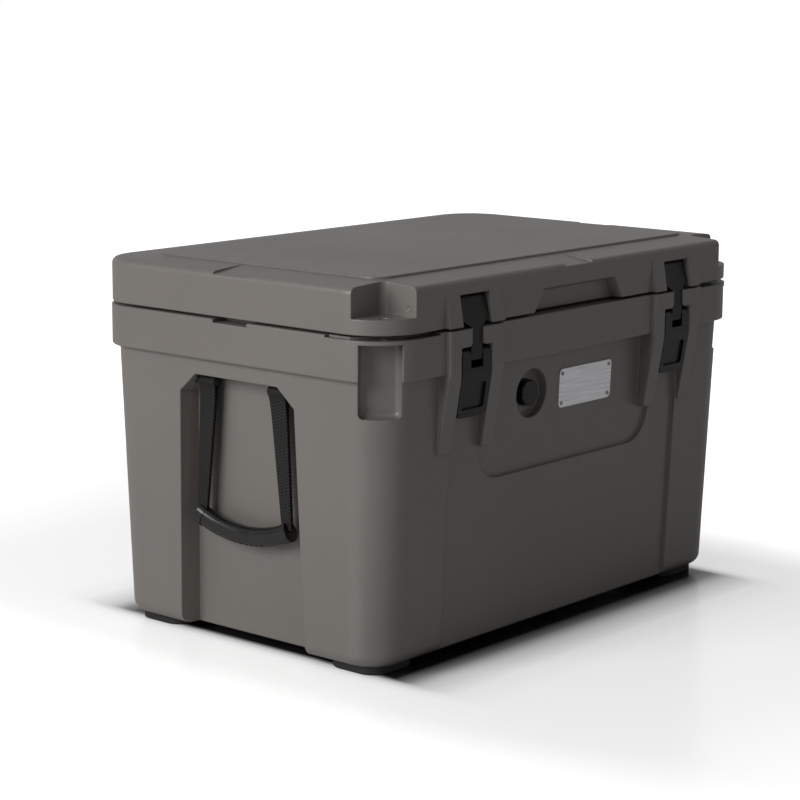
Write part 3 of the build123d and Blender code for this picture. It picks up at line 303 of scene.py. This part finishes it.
rod_x = 0.328263
rod_z = 0.305
web_foot_z = 0.149
web_top_y = 0.054
web_foot_y = 0.0668
web_top_width = 0.0252
web_foot_width = 0.0148
ply = 0.0021
ply_middle = 0.00115
selvedge_round = 0.0006
loop_radius = 0.0055
loop_start = -50
loop_step = 20
loop_points = 15
straight_top_z = 0.2685
straight_steps = 10
parting_low = (ply_middle * 1.4, 0.2825)
parting_high = (loop_radius * 0.42, 0.2933)


def woven_black(name, slant):
    """Black webbing: a herringbone of thick yarns that follows the slant of its leg."""
    material = bpy.data.materials.new(name)
    material.use_nodes = True
    tree = material.node_tree
    shader = tree.nodes["Principled BSDF"]
    place = add_node(tree, "TexCoord")
    turn = add_node(tree, "Mapping")
    turn.inputs["Rotation"].default_value = (slant, 0, 0)
    tree.links.new(place.outputs["Object"], turn.inputs["Vector"])
    yarns = []
    for lean in (pi / 4, -pi / 4):
        tilt = add_node(tree, "Mapping")
        tilt.inputs["Rotation"].default_value = (lean, 0, 0)
        twill = add_node(tree, "TexWave")
        twill.bands_direction = "Z"
        twill.inputs["Scale"].default_value = 120
        twill.inputs["Distortion"].default_value = 0.6
        tree.links.new(turn.outputs["Vector"], tilt.inputs["Vector"])
        tree.links.new(tilt.outputs["Vector"], twill.inputs["Vector"])
        yarns.append(twill)
    rows = add_node(tree, "TexWave")
    rows.bands_direction = "Y"
    rows.inputs["Scale"].default_value = 50
    tree.links.new(turn.outputs["Vector"], rows.inputs["Vector"])
    pick = add_node(tree, "Math", "GREATER_THAN")
    pick.inputs[1].default_value = 0.5
    tree.links.new(rows.outputs["Fac"], pick.inputs[0])
    weave = add_node(tree, "Mix")
    tree.links.new(pick.outputs[0], weave.inputs["Factor"])
    tree.links.new(yarns[0].outputs["Fac"], weave.inputs["A"])
    tree.links.new(yarns[1].outputs["Fac"], weave.inputs["B"])
    tone = add_node(tree, "ValToRGB")
    tone.color_ramp.elements[0].color = (0.002, 0.002, 0.002, 1)
    tone.color_ramp.elements[1].color = (0.030, 0.030, 0.029, 1)
    tree.links.new(weave.outputs["Result"], tone.inputs["Fac"])
    tree.links.new(tone.outputs["Color"], shader.inputs["Base Color"])
    relief = add_node(tree, "Bump")
    relief.inputs["Strength"].default_value = 0.7
    relief.inputs["Distance"].default_value = 0.0006
    tree.links.new(weave.outputs["Result"], relief.inputs["Height"])
    tree.links.new(relief.outputs["Normal"], shader.inputs["Normal"])
    shader.inputs["Roughness"].default_value = 0.62
    shader.inputs["Specular IOR Level"].default_value = 0.15
    return material


# One leg is a flat strip, run up its outer ply, round the rod and down its inner ply.
straight_rise = (straight_top_z - web_foot_z) / straight_steps
run_up = [(ply_middle, web_foot_z + straight_rise * step) for step in range(straight_steps + 1)]
run_up += [parting_low, parting_high]
loop_turns = [radians(loop_start + loop_step * step) for step in range(loop_points)]
round_rod = [(loop_radius * cos(turn), rod_z + loop_radius * sin(turn)) for turn in loop_turns]
leg_line = run_up + round_rod + [(-out, z) for out, z in reversed(run_up)]


def leg_place(side, end, out, z):
    """Middle of the strip and its width at a height on one leg."""
    share = min(1, (rod_z - z) / (rod_z - web_foot_z)) if z < rod_z else 0
    width = web_top_width + (web_foot_width - web_top_width) * share
    middle = end * (web_top_y + (web_foot_y - web_top_y) * share)
    return Vector((side * (rod_x + out), middle, z)), width


web_slant = (web_foot_y - web_top_y) / (rod_z - web_foot_z)
web_finish = {-1: woven_black("webbing_front", -web_slant), 1: woven_black("webbing_back", web_slant)}
for side, side_name in ((-1, "left"), (1, "right")):
    for end, end_name in ((-1, "front"), (1, "back")):
        bpy.ops.object.select_all(action="DESELECT")
        bpy.ops.mesh.primitive_plane_add(size=1, location=(0, 0, 0))
        web = bpy.context.object
        web.name = f"webbing_{side_name}_{end_name}"
        bpy.ops.object.mode_set(mode="EDIT")
        bpy.ops.mesh.select_all(action="DESELECT")
        bpy.ops.object.mode_set(mode="OBJECT")
        for point in web.data.vertices:
            point.select = point.co.x > 0
        bpy.ops.object.mode_set(mode="EDIT")
        bpy.ops.mesh.delete(type="VERT")
        bpy.ops.mesh.select_all(action="SELECT")
        middle, width = leg_place(side, end, *leg_line[0])
        bpy.ops.transform.resize(value=(1, width, 1), center_override=(-0.5, 0, 0))
        bpy.ops.transform.translate(value=middle - Vector((-0.5, 0, 0)))
        for out, z in leg_line[1:]:
            next_middle, next_width = leg_place(side, end, out, z)
            bpy.ops.mesh.extrude_region_move(TRANSFORM_OT_translate={"value": next_middle - middle})
            bpy.ops.transform.resize(value=(1, next_width / width, 1), center_override=next_middle)
            middle, width = next_middle, next_width
        bpy.ops.mesh.select_all(action="SELECT")
        bpy.ops.mesh.normals_make_consistent(inside=False)
        bpy.ops.object.mode_set(mode="OBJECT")
        wall = web.modifiers.new("ply", "SOLIDIFY")
        wall.thickness = ply
        wall.offset = 0
        selvedge = web.modifiers.new("selvedge", "BEVEL")
        selvedge.width = selvedge_round
        selvedge.segments = 2
        selvedge.limit_method = "ANGLE"
        selvedge.angle_limit = radians(50)
        bpy.ops.object.modifier_apply(modifier="ply")
        bpy.ops.object.modifier_apply(modifier="selvedge")
        bpy.ops.object.shade_smooth_by_angle(angle=radians(35))
        web.data.materials.append(web_finish[end])
        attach(web, f"handle_{side_name}")
        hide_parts(f"handle_web_{side_name}_{end_name}")

# The vent in the front and the drain in the right end: black moulded bushes through the wall.
# A knob or plug that is turned by hand screws into each from outside.
fitting_black = finish("fitting_moulding", latch_dark, latch_light, 0.34, 0.06, 900, 0.0003, 40,
                       shine=low_shine)
dress(fitting_black, "valve_bush", "valve_knob", "drain_bush", "drain_plug")

# The bare plate on the front: thin aluminium, brushed along its length.
# Four small steel rivets hold its corners.
brush_strokes = (18, 1, 1500)
plate_alloy = bpy.data.materials.new("plate_alloy")
plate_alloy.use_nodes = True
alloy = plate_alloy.node_tree
alloy_shader = alloy.nodes["Principled BSDF"]
alloy_shader.inputs["Metallic"].default_value = 1
alloy_place = add_node(alloy, "TexCoord")
strokes = add_node(alloy, "Mapping")
strokes.inputs["Scale"].default_value = brush_strokes
brushing = add_node(alloy, "TexNoise")
brushing.inputs["Scale"].default_value = 1
brushing.inputs["Detail"].default_value = 5
brush_tone = add_node(alloy, "ValToRGB")
brush_tone.color_ramp.elements[0].position = 0.3
brush_tone.color_ramp.elements[0].color = (0.50, 0.50, 0.52, 1)
brush_tone.color_ramp.elements[1].position = 0.7
brush_tone.color_ramp.elements[1].color = (0.84, 0.84, 0.86, 1)
brush_gloss = add_node(alloy, "MapRange")
brush_gloss.inputs["To Min"].default_value = 0.26
brush_gloss.inputs["To Max"].default_value = 0.46
brush_relief = add_node(alloy, "Bump")
brush_relief.inputs["Strength"].default_value = 0.3
brush_relief.inputs["Distance"].default_value = 0.0002
alloy.links.new(alloy_place.outputs["Object"], strokes.inputs["Vector"])
alloy.links.new(strokes.outputs["Vector"], brushing.inputs["Vector"])
alloy.links.new(brushing.outputs["Fac"], brush_tone.inputs["Fac"])
alloy.links.new(brush_tone.outputs["Color"], alloy_shader.inputs["Base Color"])
alloy.links.new(brushing.outputs["Fac"], brush_gloss.inputs["Value"])
alloy.links.new(brush_gloss.outputs["Result"], alloy_shader.inputs["Roughness"])
alloy.links.new(brushing.outputs["Fac"], brush_relief.inputs["Height"])
alloy.links.new(brush_relief.outputs["Normal"], alloy_shader.inputs["Normal"])
dress(plate_alloy, "name_plate")
rivet_steel = finish("rivet_steel", (0.20, 0.20, 0.21), (0.30, 0.30, 0.31), 0.35, 0.06, 600, 0.0002, 60)
rivet_steel.node_tree.nodes["Principled BSDF"].inputs["Metallic"].default_value = 1
dress(rivet_steel, *nodes_called("plate_rivet"))

# Four feet of dull black rubber under the corners of the body.
# A steel screw through the middle of each holds it to the floor of the shell.
foot_rubber = finish("foot_rubber", (0.004, 0.004, 0.004), (0.008, 0.008, 0.008), 0.7, 0.06, 700, 0.0005, 20)
dress(foot_rubber, *nodes_called("foot_front"), *nodes_called("foot_back"))
